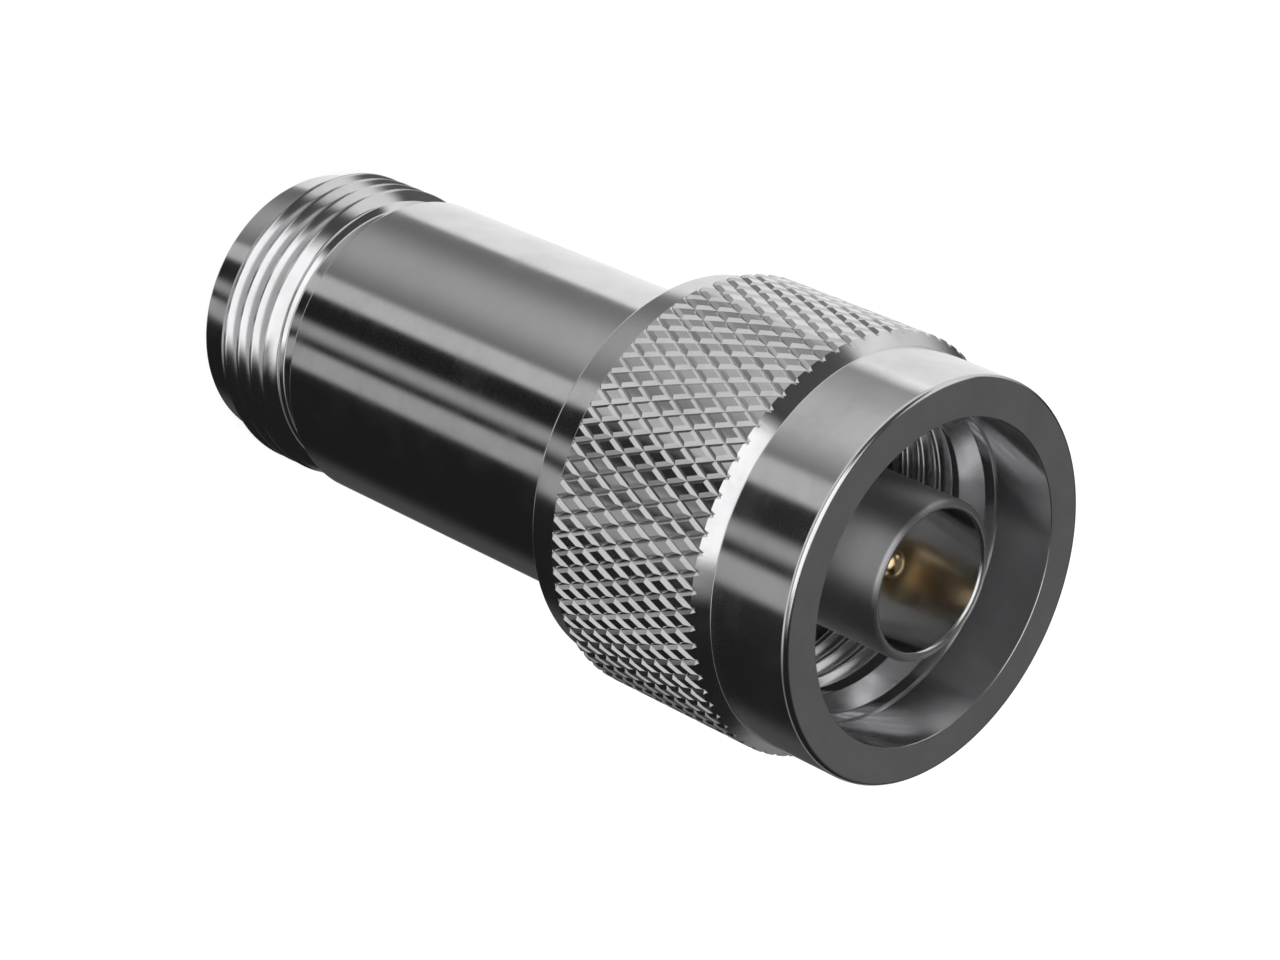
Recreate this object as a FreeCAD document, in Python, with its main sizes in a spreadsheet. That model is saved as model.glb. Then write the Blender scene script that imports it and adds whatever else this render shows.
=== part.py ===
import FreeCAD, Part
import math
import os
import Sketcher

# Driving sizes in millimetres, with angles in degrees
# Heights run up from the face of the jack to the mouth of the coupling nut
SIZES = (
    ("overall_length", 45.0),
    ("fit_gap", 0.01),
    ("running_gap", 0.05),
    ("edge_break", 0.15),
    # Air line shared by both ends: bore of the outer conductor and the centre conductor
    ("line_radius", 3.5),
    ("conductor_radius", 1.52),
    ("waist_radius", 1.05),
    ("stud_radius", 0.7),
    ("stud_length", 1.3),
    # Support beads and the bushes behind them
    ("bead_radius", 4.6),
    ("bead_thickness", 3.0),
    ("bead_cover", 0.6),
    ("bead_setback", 1.5),
    ("jack_bush_length", 2.0),
    # Jack end of the barrel, with its thread as a plain wall at the crests
    ("jack_thread_radius", 7.9375),
    ("jack_thread_length", 4.95),
    ("jack_thread_runout", 0.9),
    ("jack_lead_radius", 7.3),
    ("jack_lead_length", 1.45),
    ("jack_mouth_radius", 4.05),
    ("jack_mouth_depth", 9.1),
    ("undercut_radius", 7.2),
    ("undercut_width", 1.3),
    ("barrel_radius", 7.95),
    # Jack contact
    ("contact_reach", 5.0),
    ("socket_radius", 0.835),
    ("socket_depth", 4.4),
    ("finger_slot_width", 0.3),
    ("finger_length", 4.2),
    # Plug body
    ("ferrule_recess", 0.3),
    ("ferrule_radius", 4.0),
    ("ferrule_lip_round", 0.18),
    ("ferrule_neck_depth", 0.2),
    ("spigot_radius", 6.5),
    ("spigot_length", 4.4),
    ("spigot_chamfer", 0.4),
    ("spigot_end_gap", 0.4),
    ("flange_step", 0.5),
    ("flange_thickness", 1.05),
    ("collar_thickness", 0.95),
    ("seal_groove_depth", 0.6),
    ("seal_groove_width", 0.8),
    ("seal_land", 0.5),
    # Plug pin
    ("pin_radius", 0.825),
    ("pin_length", 3.3),
    ("pin_tip_round", 0.7),
    ("pin_shoulder_depth", 5.3),
    # Face gasket
    ("gasket_step", 0.4),
    ("gasket_thickness", 1.0),
    ("gasket_stand", 0.2),
    # Snap ring and the grooves that hold it
    ("ring_thickness", 0.9),
    ("ring_float", 0.3),
    ("ring_groove_depth", 0.9),
    ("ring_inner_gap", 0.2),
    ("ring_outer_gap", 0.15),
    ("ring_gap_angle", 24.0),
    # Coupling nut
    ("nut_length", 16.8),
    ("nut_rim_length", 1.6),
    ("nut_rim_break", 0.25),
    ("nut_barrel_gap", 0.15),
    ("nut_flange_gap", 0.15),
    ("nut_rear_land", 0.65),
    ("nut_front_land", 1.0),
    ("nut_groove_depth", 0.55),
    ("nut_relief_radius", 8.0),
    ("nut_relief_width", 0.9),
    ("nut_thread_radius", 7.42),
    ("nut_thread_pitch", 1.0583),
    ("nut_thread_groove", 0.53),
    ("nut_thread_slope", 0.5774),
    ("nut_thread_crest", 0.2646),
    ("nut_thread_depth", 5.25),
    ("nut_cone_depth", 4.1),
    ("nut_step", 0.1),
    ("nut_step_height", 0.15),
    ("nut_mouth_radius", 8.08),
    ("nut_mouth_depth", 3.3),
    ("nut_ring_length", 4.7),
    ("nut_ring_round", 0.3),
    # Diamond knurl round the coupling nut
    ("knurl_radius", 10.6),
    ("knurl_depth", 0.2),
    ("knurl_rim_step", 0.6),
    ("knurl_ring_step", 0.55),
    ("knurl_pads_around", 72),
    ("knurl_half_rows", 9),
    ("knurl_top_share", 0.62),
    ("knurl_rear_chamfer", 0.55),
    ("knurl_front_chamfer", 0.75),
    ("knurl_core_step", 0.8),
    ("knurl_sink", 0.1),
    # Resistor card, its holder and the clips that grip it
    ("holder_radius", 5.5),
    ("card_width", 9.0),
    ("card_thickness", 0.64),
    ("card_end_gap", 0.1),
    ("clip_grip", 2.0),
)

ORIGIN_POINT = (-1, 1)
HORIZONTAL_AXIS = -1
VERTICAL_AXIS = -2


class Size:
    """A length that carries its value now and the sheet formula that gives it."""

    def __init__(self, formula, value):
        self.formula = formula
        self.value = value

    def __add__(self, other):
        other = as_size(other)
        return Size("(%s + %s)" % (self.formula, other.formula), self.value + other.value)

    def __sub__(self, other):
        other = as_size(other)
        return Size("(%s - %s)" % (self.formula, other.formula), self.value - other.value)

    def __mul__(self, factor):
        factor = as_size(factor)
        return Size("(%s * %s)" % (self.formula, factor.formula), self.value * factor.value)

    def __truediv__(self, divisor):
        divisor = as_size(divisor)
        return Size("(%s / %s)" % (self.formula, divisor.formula), self.value / divisor.value)


def as_size(value):
    """Let a plain number stand in a sum of sizes."""
    if isinstance(value, Size):
        return value
    return Size(repr(value), value)


class Sheet:
    """The document's spreadsheet, read as sizes by their names."""

    def __init__(self, document, rows):
        self.table = document.addObject("Spreadsheet::Sheet", "sizes")
        for row, (name, value) in enumerate(rows, start=1):
            self.table.set("A%d" % row, name)
            self.table.set("B%d" % row, repr(value))
            self.table.setAlias("B%d" % row, name)
        document.recompute()

    def __getattr__(self, name):
        return Size("sizes." + name, float(self.table.get(name)))


doc = FreeCAD.newDocument("coaxial_attenuator")
sizes = Sheet(doc, SIZES)
ZERO = Size("0", 0.0)

# Heights of the jack end, upwards
jack_face = ZERO
thread_low = jack_face + sizes.jack_lead_length
thread_high = thread_low + sizes.jack_thread_length
barrel_low = thread_high + sizes.undercut_width
mouth_floor = jack_face + sizes.jack_mouth_depth
contact_tip = mouth_floor - sizes.contact_reach
jack_bead_low = mouth_floor + sizes.bead_setback
jack_bead_high = jack_bead_low + sizes.bead_thickness
holder_low = jack_bead_high + sizes.jack_bush_length

# Radii that follow from their neighbours
flange_radius = sizes.spigot_radius + sizes.flange_step
seal_groove_radius = sizes.spigot_radius - sizes.seal_groove_depth
ring_groove_radius = flange_radius - sizes.ring_groove_depth
ferrule_neck_radius = sizes.ferrule_radius - sizes.ferrule_neck_depth
nut_bore_radius = sizes.barrel_radius + sizes.nut_barrel_gap
nut_land_radius = flange_radius + sizes.nut_flange_gap
nut_groove_radius = nut_land_radius + sizes.nut_groove_depth
nut_rim_radius = sizes.knurl_radius - sizes.knurl_rim_step
nut_ring_radius = sizes.knurl_radius - sizes.knurl_ring_step
knurl_core_radius = sizes.knurl_radius - sizes.knurl_core_step

# Heights of the plug end, downwards
nut_front = sizes.overall_length
nut_rear = nut_front - sizes.nut_length
ferrule_front = nut_front - sizes.ferrule_recess
gasket_top = ferrule_front - sizes.jack_mouth_depth + sizes.gasket_stand
gasket_seat = gasket_top - sizes.gasket_thickness
ring_groove_high = gasket_seat - sizes.flange_thickness
ring_groove_low = ring_groove_high - sizes.ring_thickness - sizes.ring_float - sizes.running_gap * 2
barrel_high = ring_groove_low - sizes.collar_thickness
holder_high = barrel_high - sizes.spigot_length
plug_bead_high = gasket_seat - sizes.bead_cover
plug_bead_low = plug_bead_high - sizes.bead_thickness
pin_shoulder = ferrule_front - sizes.pin_shoulder_depth
pin_tip = pin_shoulder + sizes.pin_length

# Heights of the resistor card, between the two ends
card_low = holder_low + sizes.card_end_gap
card_high = holder_high - sizes.card_end_gap
jack_clip_high = card_low + sizes.clip_grip
plug_clip_low = card_high - sizes.clip_grip

# Heights of the snap ring and of the nut's groove that rests on it
ring_low = ring_groove_low + sizes.running_gap
ring_high = ring_low + sizes.ring_thickness
nut_groove_low = ring_low - sizes.running_gap
nut_groove_high = ring_high + sizes.running_gap


def origin_plane(body, role):
    """One of a body's own origin planes."""
    return next(feature for feature in body.Origin.OriginFeatures if feature.Role == role)


def hold(sketch, line, direction, size, name):
    """Hold one coordinate of a line's start point at a size."""
    if size.value == 0:
        axis = VERTICAL_AXIS if direction == "DistanceX" else HORIZONTAL_AXIS
        sketch.addConstraint(Sketcher.Constraint("PointOnObject", line, 1, axis))
        return
    index = sketch.addConstraint(Sketcher.Constraint(direction, *ORIGIN_POINT, line, 1, size.value))
    sketch.renameConstraint(index, name)
    sketch.setExpression("Constraints." + name, size.formula)


def outline_sketch(body, corners):
    """A closed outline in the body's XZ plane, whose corners are pairs of radius and height."""
    sketch = body.newObject("Sketcher::SketchObject", body.Name + "_outline")
    sketch.AttachmentSupport = [(origin_plane(body, "XZ_Plane"), "")]
    sketch.MapMode = "FlatFace"
    points = [FreeCAD.Vector(radius.value, height.value, 0) for radius, height in corners]
    for start, end in zip(points, points[1:] + points[:1]):
        sketch.addGeometry(Part.LineSegment(start, end), False)
    for line in range(len(points)):
        following = (line + 1) % len(points)
        sketch.addConstraint(Sketcher.Constraint("Coincident", line, 2, following, 1))
    for line, (radius, height) in enumerate(corners):
        hold(sketch, line, "DistanceX", radius, "radius_%d" % line)
        hold(sketch, line, "DistanceY", height, "height_%d" % line)
    return sketch


def turned(name, corners, angle=None, backwards=False):
    """A body turned about the Z axis from its outline, all the way round unless an angle is given."""
    body = doc.addObject("PartDesign::Body", name)
    body.Label = name
    sketch = outline_sketch(body, corners)
    revolution = body.newObject("PartDesign::Revolution", name + "_turned")
    revolution.Profile = sketch
    revolution.ReferenceAxis = (sketch, ["V_Axis"])
    revolution.Reversed = backwards
    if angle is None:
        revolution.Angle = 360
    else:
        revolution.Angle = angle.value
        revolution.setExpression("Angle", angle.formula)
    sketch.Visibility = False
    doc.recompute()
    return body


def round_edges(body, circles, radius):
    """Round the turned edges that lie at the given pairs of radius and height."""
    base = body.Tip
    found = []
    for number, edge in enumerate(base.Shape.Edges, start=1):
        for circle_radius, height in circles:
            same_height = abs(edge.BoundBox.ZMin - height.value) < 1e-4 and edge.BoundBox.ZLength < 1e-4
            is_circle = isinstance(edge.Curve, Part.Circle)
            if same_height and is_circle and abs(edge.Curve.Radius - circle_radius.value) < 1e-4:
                found.append("Edge%d" % number)
    fillet = body.newObject("PartDesign::Fillet", body.Name + "_round")
    fillet.Base = (base, found)
    fillet.Radius = radius.value
    fillet.setExpression("Radius", radius.formula)
    doc.recompute()


def block(name, width, depth, low, high):
    """A block centred on the axis, from one height to another."""
    box = doc.addObject("Part::Box", name)
    box.setExpression("Length", width.formula)
    box.setExpression("Width", depth.formula)
    box.setExpression("Height", (high - low).formula)
    box.setExpression("Placement.Base.x", (ZERO - width / 2).formula)
    box.setExpression("Placement.Base.y", (ZERO - depth / 2).formula)
    box.setExpression("Placement.Base.z", low.formula)
    doc.recompute()
    return box


def cut_from(name, base, tool):
    """What is left of one shape when another is cut from it."""
    cut = doc.addObject("Part::Cut", name)
    cut.Label = name
    cut.Base = base
    cut.Tool = tool
    doc.recompute()
    return cut


# Barrel with the jack's threaded end, turned in one piece

def make_housing():
    """The barrel, with the jack's thread and mouth, and bores for its bead, the holder and spigot."""
    edge = sizes.edge_break
    bore = sizes.holder_radius + sizes.fit_gap
    spigot_bore = sizes.spigot_radius + sizes.fit_gap
    spigot_floor = holder_high - sizes.spigot_end_gap
    crest_low = thread_low + sizes.jack_thread_radius - sizes.jack_lead_radius
    crest_high = thread_high - sizes.jack_thread_runout
    return turned("housing", [
        (sizes.jack_mouth_radius + edge, jack_face),
        (sizes.jack_lead_radius - edge, jack_face),
        (sizes.jack_lead_radius, jack_face + edge),
        (sizes.jack_lead_radius, thread_low),
        (sizes.jack_thread_radius, crest_low),
        (sizes.jack_thread_radius, crest_high),
        (sizes.undercut_radius, thread_high),
        (sizes.undercut_radius, barrel_low),
        (sizes.barrel_radius - edge, barrel_low),
        (sizes.barrel_radius, barrel_low + edge),
        (sizes.barrel_radius, barrel_high - edge),
        (sizes.barrel_radius - edge, barrel_high),
        (spigot_bore + edge, barrel_high),
        (spigot_bore, barrel_high - edge),
        (spigot_bore, spigot_floor),
        (bore, spigot_floor),
        (bore, holder_low),
        (sizes.bead_radius, holder_low),
        (sizes.bead_radius, jack_bead_low),
        (sizes.line_radius, jack_bead_low),
        (sizes.line_radius, mouth_floor),
        (sizes.jack_mouth_radius, mouth_floor),
        (sizes.jack_mouth_radius, jack_face + edge),
    ])


# Plug body: ferrule, flange, snap ring groove and the spigot that screws into the barrel

def make_plug_body():
    """The plug's outer conductor, with a seal groove at the root of its spigot."""
    seal_high = barrel_high - sizes.seal_land
    seal_low = seal_high - sizes.seal_groove_width
    body = turned("plug_body", [
        (sizes.line_radius, ferrule_front),
        (sizes.ferrule_radius, ferrule_front),
        (sizes.ferrule_radius, gasket_top),
        (ferrule_neck_radius, gasket_top),
        (ferrule_neck_radius, gasket_seat),
        (flange_radius, gasket_seat),
        (flange_radius, ring_groove_high),
        (ring_groove_radius, ring_groove_high),
        (ring_groove_radius, ring_groove_low),
        (flange_radius, ring_groove_low),
        (flange_radius, barrel_high),
        (sizes.spigot_radius, barrel_high),
        (sizes.spigot_radius, seal_high),
        (seal_groove_radius, seal_high),
        (seal_groove_radius, seal_low),
        (sizes.spigot_radius, seal_low),
        (sizes.spigot_radius, holder_high + sizes.spigot_chamfer),
        (sizes.spigot_radius - sizes.spigot_chamfer, holder_high),
        (sizes.bead_radius, holder_high),
        (sizes.bead_radius, plug_bead_high),
        (sizes.line_radius, plug_bead_high),
    ])
    lips = [(sizes.line_radius, ferrule_front), (sizes.ferrule_radius, ferrule_front)]
    round_edges(body, lips, sizes.ferrule_lip_round)
    return body


def make_barrel_seal():
    """The ring seal in the spigot's groove, which touches its floor and the barrel's bore."""
    bore = sizes.spigot_radius + sizes.fit_gap
    middle = barrel_high - sizes.seal_land - sizes.seal_groove_width / 2
    seal = doc.addObject("Part::Torus", "barrel_seal")
    seal.Label = "barrel_seal"
    seal.setExpression("Radius1", ((bore + seal_groove_radius) / 2).formula)
    seal.setExpression("Radius2", ((bore - seal_groove_radius) / 2 - sizes.fit_gap).formula)
    seal.setExpression("Placement.Base.z", middle.formula)
    return seal


def make_face_gasket():
    """The gasket in the neck at the ferrule's root, which the mating jack's face presses on."""
    inner = ferrule_neck_radius + sizes.fit_gap
    outer = flange_radius - sizes.gasket_step
    edge = sizes.edge_break
    top = gasket_top - sizes.fit_gap
    return turned("face_gasket", [
        (inner, gasket_seat),
        (outer, gasket_seat),
        (outer, top - edge),
        (outer - edge, top),
        (inner, top),
    ])


# Snap ring, split so that it can be closed while the nut goes over it

def make_snap_ring():
    """The split ring that rides in the plug body's groove and carries the nut."""
    inner = ring_groove_radius + sizes.ring_inner_gap
    outer = nut_groove_radius - sizes.ring_outer_gap
    return turned("snap_ring", [
        (inner, ring_low),
        (outer, ring_low),
        (outer, ring_high),
        (inner, ring_high),
    ], angle=Size("360", 360.0) - sizes.ring_gap_angle)


# Coupling nut: a turned blank with a diamond knurl round its middle

knurl_low = nut_rear + sizes.nut_rim_length
knurl_high = nut_front - sizes.nut_ring_length


def nut_thread_corners(low, high):
    """The corners of the nut's thread between two heights, from the top down.

    The grooves are rings at the thread's pitch, which keeps the faces few, and each has the true
    section of a groove. The upper crest takes the width that is left.
    """
    crest_radius = sizes.nut_thread_radius
    root_radius = crest_radius + sizes.nut_thread_groove
    flank = sizes.nut_thread_groove * sizes.nut_thread_slope
    corners = []
    for turn in range(int((high.value - low.value) / sizes.nut_thread_pitch.value)):
        start = low + sizes.nut_thread_pitch * turn + sizes.nut_thread_crest
        end = low + sizes.nut_thread_pitch * (turn + 1)
        corners += [
            (crest_radius, start),
            (root_radius, start + flank),
            (root_radius, end - flank),
            (crest_radius, end),
        ]
    return reversed(corners)


def make_nut_blank():
    """The nut's bore, thread, grooves, rear rim and front ring, with a seat for the knurl."""
    mouth_low = nut_front - sizes.nut_mouth_depth
    thread_top = nut_front - sizes.nut_thread_depth
    relief_low = nut_groove_high + sizes.nut_front_land
    land_low = nut_groove_low - sizes.nut_rear_land
    step_radius = sizes.nut_mouth_radius - sizes.nut_step
    relief_high = relief_low + sizes.nut_relief_width
    edge = sizes.nut_rim_break
    body = turned("nut_blank", [
        (nut_bore_radius + edge, nut_rear),
        (nut_rim_radius - edge, nut_rear),
        (nut_rim_radius, nut_rear + edge),
        (nut_rim_radius, knurl_low),
        (knurl_core_radius, knurl_low),
        (knurl_core_radius, knurl_high),
        (nut_ring_radius, knurl_high),
        (nut_ring_radius, nut_front),
        (sizes.nut_mouth_radius, nut_front),
        (sizes.nut_mouth_radius, mouth_low),
        (step_radius, mouth_low - sizes.nut_step_height),
        (step_radius, nut_front - sizes.nut_cone_depth),
        (sizes.nut_thread_radius, thread_top),
        *nut_thread_corners(relief_high, thread_top),
        (sizes.nut_thread_radius, relief_high),
        (sizes.nut_relief_radius, relief_high),
        (sizes.nut_relief_radius, relief_low),
        (nut_land_radius, relief_low),
        (nut_land_radius, nut_groove_high),
        (nut_groove_radius, nut_groove_high),
        (nut_groove_radius, nut_groove_low),
        (nut_land_radius, nut_groove_low),
        (nut_land_radius, land_low),
        (nut_bore_radius, land_low),
        (nut_bore_radius, nut_rear + edge),
    ])
    round_edges(body, [(nut_ring_radius, nut_front)], sizes.nut_ring_round)
    return body


class Knurl:
    """Rows of raised diamond pads round a cylinder, cut off by a chamfer at each end.

    Two families of grooves cross each other between the pads. Every second row is turned by half
    a pad, so that each pad's side corners are the crossings on both sides of it.
    """

    def __init__(self):
        self.around = int(sizes.knurl_pads_around.value)
        self.rows = int(sizes.knurl_half_rows.value)
        self.share = sizes.knurl_top_share.value
        self.top_radius = sizes.knurl_radius.value
        self.valley_radius = self.top_radius - sizes.knurl_depth.value
        self.low = knurl_low.value + sizes.knurl_rear_chamfer.value
        self.high = knurl_high.value - sizes.knurl_front_chamfer.value
        self.rear_slope = sizes.knurl_rear_chamfer.value / sizes.knurl_rim_step.value
        self.front_slope = sizes.knurl_front_chamfer.value / sizes.knurl_ring_step.value
        # The band's edges and inner wall lie this deep in the blank, so that the two join
        sink = sizes.knurl_sink.value
        self.rear_edge_radius = nut_rim_radius.value - sink
        self.front_edge_radius = nut_ring_radius.value - sink
        self.inner_radius = knurl_core_radius.value - sink

    def height(self, radius, row):
        """The height of a row, which on the first and last rows is that of the end's chamfer."""
        if row == 0:
            return self.low - (self.top_radius - radius) * self.rear_slope
        if row == self.rows:
            return self.high + (self.top_radius - radius) * self.front_slope
        return self.low + (self.high - self.low) * row / self.rows

    def point(self, radius, column, height):
        """A point at a radius, a column counted in pads, and a height."""
        angle = 2 * math.pi * column / self.around
        return FreeCAD.Vector(radius * math.cos(angle), radius * math.sin(angle), height)

    def side_points(self, column, row):
        """The crossings at both sides of a pad, and the corners of its flat top between them."""
        half_top = self.share / 2
        return [
            self.point(self.valley_radius, column - 0.5, self.height(self.valley_radius, row)),
            self.point(self.top_radius, column - half_top, self.height(self.top_radius, row)),
            self.point(self.top_radius, column + half_top, self.height(self.top_radius, row)),
            self.point(self.valley_radius, column + 0.5, self.height(self.valley_radius, row)),
        ]

    def pad_half(self, column, row, next_row):
        """The flat top and the flanks of the half of a pad that points to the next row."""
        left, top_left, top_right, right = self.side_points(column, row)
        middle = self.height(self.top_radius, row)
        tip_height = self.height(self.valley_radius, next_row)
        tip = self.point(self.valley_radius, column, tip_height)
        top_height = middle + (self.height(self.top_radius, next_row) - middle) * self.share
        top_tip = self.point(self.top_radius, column, top_height)
        yield top_left, top_tip, top_right
        yield left, top_left, tip
        yield tip, top_left, top_tip
        yield tip, top_tip, top_right
        yield tip, top_right, right

    def outline(self, row):
        """The line round the knurl along a row's crossings and pads."""
        line = []
        for pad in range(self.around):
            line.extend(self.side_points(pad + 0.5 * (row % 2), row)[:3])
        return line

    def ring(self, line, radius, height):
        """A line's directions again, all at one radius and height."""
        moved = []
        for point in line:
            scale = radius / math.hypot(point.x, point.y)
            moved.append(FreeCAD.Vector(point.x * scale, point.y * scale, height))
        return moved

    def strip(self, first, second):
        """Triangles between two closed lines that have as many points."""
        start = min(range(len(second)), key=lambda step: second[step].distanceToPoint(first[0]))
        second = second[start:] + second[:start]
        for index in range(len(first)):
            following = (index + 1) % len(first)
            yield first[index], first[following], second[index]
            yield second[index], first[following], second[following]

    def triangles(self):
        """Every face of the band: the pads, the end chamfers, the ends and the inner wall."""
        for row in range(self.rows + 1):
            for pad in range(self.around):
                column = pad + 0.5 * (row % 2)
                if row < self.rows:
                    yield from self.pad_half(column, row, row + 1)
                if row > 0:
                    yield from self.pad_half(column, row, row - 1)
        rear_height = self.height(self.rear_edge_radius, 0)
        front_height = self.height(self.front_edge_radius, self.rows)
        rear_line = self.outline(0)
        front_line = self.outline(self.rows)
        lines = [
            rear_line,
            self.ring(rear_line, self.rear_edge_radius, rear_height),
            self.ring(rear_line, self.inner_radius, rear_height),
            self.ring(rear_line, self.inner_radius, front_height),
            self.ring(front_line, self.front_edge_radius, front_height),
            front_line,
        ]
        for first, second in zip(lines, lines[1:]):
            yield from self.strip(first, second)

    def shape(self):
        """The band as one solid."""
        faces = [Part.Face(Part.makePolygon([*corners, corners[0]])) for corners in self.triangles()]
        return Part.makeSolid(Part.makeShell(faces))


def make_coupling_nut():
    """The blank and its knurl joined in one piece."""
    blank = make_nut_blank()
    knurl = doc.addObject("Part::Feature", "nut_knurl")
    knurl.Shape = Knurl().shape()
    knurl.Placement = FreeCAD.Placement()
    nut = doc.addObject("Part::Fuse", "coupling_nut")
    nut.Label = "coupling_nut"
    nut.Base = blank
    nut.Tool = knurl
    doc.recompute()
    return nut


# Centre conductor: plug pin, jack contact and the clip on the stud of each

def make_plug_pin():
    """The pin, its shoulder, the waist inside the bead and the stud behind it."""
    body = turned("plug_pin", [
        (ZERO, pin_tip),
        (sizes.pin_radius, pin_tip),
        (sizes.pin_radius, pin_shoulder),
        (sizes.conductor_radius, pin_shoulder),
        (sizes.conductor_radius, plug_bead_high),
        (sizes.waist_radius, plug_bead_high),
        (sizes.waist_radius, plug_bead_low),
        (sizes.stud_radius, plug_bead_low),
        (sizes.stud_radius, plug_bead_low - sizes.stud_length),
        (ZERO, plug_bead_low - sizes.stud_length),
    ])
    round_edges(body, [(sizes.pin_radius, pin_tip)], sizes.pin_tip_round)
    return body


def make_jack_contact():
    """The socket that takes a mating pin, slotted into four fingers."""
    edge = sizes.edge_break
    stud_end = jack_bead_high + sizes.stud_length
    socket_floor = contact_tip + sizes.socket_depth
    blank = turned("jack_contact_blank", [
        (sizes.socket_radius + edge, contact_tip),
        (sizes.conductor_radius - edge, contact_tip),
        (sizes.conductor_radius, contact_tip + edge),
        (sizes.conductor_radius, jack_bead_low),
        (sizes.waist_radius, jack_bead_low),
        (sizes.waist_radius, jack_bead_high),
        (sizes.stud_radius, jack_bead_high),
        (sizes.stud_radius, stud_end),
        (ZERO, stud_end),
        (ZERO, socket_floor),
        (sizes.socket_radius, socket_floor),
        (sizes.socket_radius, contact_tip + edge),
    ])
    width = sizes.conductor_radius * 2 + sizes.edge_break
    fingers_end = contact_tip + sizes.finger_length
    slot_low = contact_tip - sizes.edge_break
    first = block("finger_slot_across", width, sizes.finger_slot_width, slot_low, fingers_end)
    second = block("finger_slot_along", sizes.finger_slot_width, width, slot_low, fingers_end)
    slots = doc.addObject("Part::Fuse", "finger_slots")
    slots.Base = first
    slots.Tool = second
    return cut_from("jack_contact", blank, slots)


def make_card_clip(name, stud_end, card_end, clip_end, bead_face):
    """A clip that screws on a stud and grips one end of the card in its slot."""
    direction = 1 if clip_end.value > bead_face.value else -1
    stud_bore = sizes.stud_radius + sizes.fit_gap
    bore_floor = stud_end + sizes.card_end_gap * direction
    blank = turned(name + "_blank", [
        (stud_bore, bead_face),
        (sizes.conductor_radius, bead_face),
        (sizes.conductor_radius, clip_end),
        (ZERO, clip_end),
        (ZERO, bore_floor),
        (stud_bore, bore_floor),
    ])
    width = sizes.conductor_radius * 2 + sizes.edge_break
    thickness = sizes.card_thickness + sizes.fit_gap * 2
    slot_floor = card_end - sizes.card_end_gap * direction
    slot_mouth = clip_end + sizes.edge_break * direction
    low, high = (slot_floor, slot_mouth) if direction > 0 else (slot_mouth, slot_floor)
    return cut_from(name, blank, block(name + "_slot", width, thickness, low, high))


# Beads and bushes, which centre the conductor and close the line behind it

def make_ring(name, inner, outer, low, high):
    """A plain ring between two radii and two heights."""
    return turned(name, [(inner, low), (outer, low), (outer, high), (inner, high)])


# Card holder: a tube split along the card, which grips the card's long edges

def make_holder_half(name, backwards):
    """Half of the holder, with a ledge for half the card's thickness."""
    half = turned(name + "_blank", [
        (sizes.line_radius, holder_low),
        (sizes.holder_radius, holder_low),
        (sizes.holder_radius, holder_high),
        (sizes.line_radius, holder_high),
    ], angle=Size("180", 180.0), backwards=backwards)
    width = sizes.card_width + sizes.fit_gap * 2
    ledge = block(name + "_ledge", width, sizes.card_thickness + sizes.fit_gap * 2, holder_low, holder_high)
    return cut_from(name, half, ledge)


def make_attenuator_card():
    """The ceramic card that carries the resistor film."""
    card = block("attenuator_card", sizes.card_width, sizes.card_thickness, card_low, card_high)
    card.Label = "attenuator_card"
    return card


bead_inner = sizes.waist_radius + sizes.fit_gap
seat_outer = sizes.bead_radius - sizes.fit_gap
plug_stud_end = plug_bead_low - sizes.stud_length
jack_stud_end = jack_bead_high + sizes.stud_length
pieces = [
    make_housing(),
    make_plug_body(),
    make_barrel_seal(),
    make_face_gasket(),
    make_snap_ring(),
    make_coupling_nut(),
    make_plug_pin(),
    make_ring("plug_bead", bead_inner, seat_outer, plug_bead_low, plug_bead_high),
    make_ring("plug_bush", sizes.line_radius, seat_outer, holder_high, plug_bead_low),
    make_card_clip("plug_card_clip", plug_stud_end, card_high, plug_clip_low, plug_bead_low),
    make_holder_half("card_holder_front", True),
    make_holder_half("card_holder_back", False),
    make_attenuator_card(),
    make_card_clip("jack_card_clip", jack_stud_end, card_low, jack_clip_high, jack_bead_high),
    make_ring("jack_bush", sizes.line_radius, seat_outer, jack_bead_high, holder_low),
    make_ring("jack_bead", bead_inner, seat_outer, jack_bead_low, jack_bead_high),
    make_jack_contact(),
]
doc.recompute()

for item in doc.Objects:
    if "Invalid" in item.State or "Error" in item.State:
        raise RuntimeError("%s did not compute: %s" % (item.Name, item.State))

for piece in pieces:
    if piece.Shape.isNull() or not piece.Shape.isValid():
        raise RuntimeError("%s has no sound shape" % piece.Label)

os.makedirs("parts", exist_ok=True)
for piece in pieces:
    piece.Shape.exportStep("parts/%s.step" % piece.Label)
    print("%-20s %10.2f mm3  %d solid" % (piece.Label, piece.Shape.Volume, len(piece.Shape.Solids)))
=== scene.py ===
"""Looks of a coaxial attenuator: a turned barrel with a threaded jack and a knurled coupling nut.

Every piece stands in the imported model's own frame, with the axis along Z and the jack's face at
the bottom. Sizes in the classes are in millimetres, and the meshes are in metres.
"""

import logging
import math
from abc import ABC, abstractmethod
from contextlib import contextmanager
from dataclasses import dataclass, field
from enum import Enum
from typing import Callable, Iterator, Mapping, Sequence

import bmesh
import bpy
from mathutils import Matrix, Vector


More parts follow.
